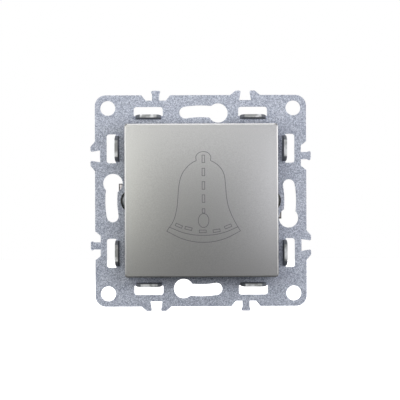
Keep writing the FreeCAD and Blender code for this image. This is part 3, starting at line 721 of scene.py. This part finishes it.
def add_lights():
    for name, (azimuth, elevation, distance, size, power, tint) in soft_boxes.items():
        light = bpy.data.lights.new(name, "AREA")
        light.size = size * MM
        light.energy = power
        light.color = linear(tint)[:3]
        lamp = bpy.data.objects.new(name, light)
        across, up = math.radians(azimuth), math.radians(elevation)
        way = Vector((math.sin(across) * math.cos(up), -math.cos(across) * math.cos(up), math.sin(up)))
        lamp.location = way * distance * MM
        lamp.rotation_euler = (-way).to_track_quat("-Z", "Y").to_euler()
        bpy.context.scene.collection.objects.link(lamp)


def add_camera():
    data = bpy.data.cameras.new("camera")
    camera = bpy.data.objects.new("camera", data)
    bpy.context.scene.collection.objects.link(camera)
    across, up = math.radians(camera_from_left), math.radians(camera_from_below)
    aim = Vector((aim_x, 0, aim_z)) * MM
    away = Vector((-math.sin(across), -math.cos(across) * math.cos(up), -math.sin(up)))
    camera.location = aim + away * camera_distance * MM
    turn = (-away).to_track_quat("-Z", "Y") @ Quaternion((0, 0, 1), math.radians(camera_roll))
    camera.rotation_euler = turn.to_euler()
    bpy.context.scene.view_settings.view_transform = "Standard"
    data.sensor_width = camera_sensor
    data.lens = camera_sensor * camera_distance / frame_width
    bpy.context.scene.camera = camera


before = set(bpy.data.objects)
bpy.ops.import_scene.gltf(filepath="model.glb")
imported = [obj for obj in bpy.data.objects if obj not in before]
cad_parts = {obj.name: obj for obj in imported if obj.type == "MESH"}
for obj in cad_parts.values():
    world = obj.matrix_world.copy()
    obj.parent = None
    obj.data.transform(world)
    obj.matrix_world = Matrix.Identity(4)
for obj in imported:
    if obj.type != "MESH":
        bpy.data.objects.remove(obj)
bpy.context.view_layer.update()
add_camera()

# A cool blue-grey speckle with no shine on the plate, and a warm satin sheen on the cap
plate_steel = galvanised_steel()
cap_lacquer = satin_silver_lacquer()

# A pale carrier, and a near-black housing that keeps the gaps round the button dark
light_plastic = moulded_plastic("light_grey_plastic", "BFC1C2", "CACCCD", roughness=0.45)
dark_thermoset = moulded_plastic("dark_grey_thermoset", "2E3033", "383A3D", roughness=0.5)

# Bright spotless zinc on most screws and rivets, and on the claw screw heads beside the cap a rougher
# copy, darkened as painted shade
zinc = plated_metal("zinc_plated_steel", "B4B8BC", "D0D3D6", roughness=0.3)
shaded_dull_zinc = plated_metal("shaded_dull_zinc", "7A7C7E", "989A9C", roughness=0.5)

# Plain grey wire, reddish bronze, yellow brass and near-white silver, all with a soft shine
spring_wire = plated_metal("spring_steel", "8E9093", "A9ABAE", 0.3, wire_grain)
bronze = plated_metal("phosphor_bronze", "B98A5E", "CB9C70", roughness=0.3)
brass = plated_metal("terminal_brass", "C7A556", "DDBD6E", roughness=0.28)
silver = plated_metal("silver_contact", "D8D6D0", "E8E6E1", 0.35, wire_grain)

finishes = {
    "mounting_plate": (plate_steel, plate_bevel),
    "button_carrier": (light_plastic, moulding_bevel),
    "housing_cover": (dark_thermoset, moulding_bevel),
    "housing_base": (dark_thermoset, moulding_bevel),
    "plate_rivets": (zinc, sheet_bevel),
    "contact_arm": (bronze, sheet_bevel),
    "arm_pin": (zinc, sheet_bevel),
    "moving_contact": (silver, sheet_bevel),
    "fixed_contact": (silver, sheet_bevel),
    "arm_terminal_strip": (brass, sheet_bevel),
    "fixed_contact_strip": (brass, sheet_bevel),
}
for side in ("left", "right"):
    finishes["terminal_clamp_" + side] = (brass, sheet_bevel)
    finishes["terminal_screw_" + side] = (zinc, sheet_bevel)
    finishes["claw_" + side] = (claw_plating_and_shade(side), sheet_bevel)
    finishes["claw_screw_" + side] = (shaded_dull_zinc, sheet_bevel)
    finishes["claw_nut_" + side] = (zinc, sheet_bevel)
for name, (material, bevel) in finishes.items():
    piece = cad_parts[name]
    finish(piece, material)
    soften(piece, bevel)

shell = push_cap()
finish(shell, cap_lacquer)
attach(shell, "button")
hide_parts("button_cap")

sign = bell_sign()
finish(sign, sign_ink())
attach(sign, "button")

for name in springs:
    finish(coil_spring(name), spring_wire)

for side in ("left", "right"):
    for screw in threads:
        ridge = screw_thread(screw, side)
        finish(ridge, zinc)

add_floor()
add_surround()
add_lights()
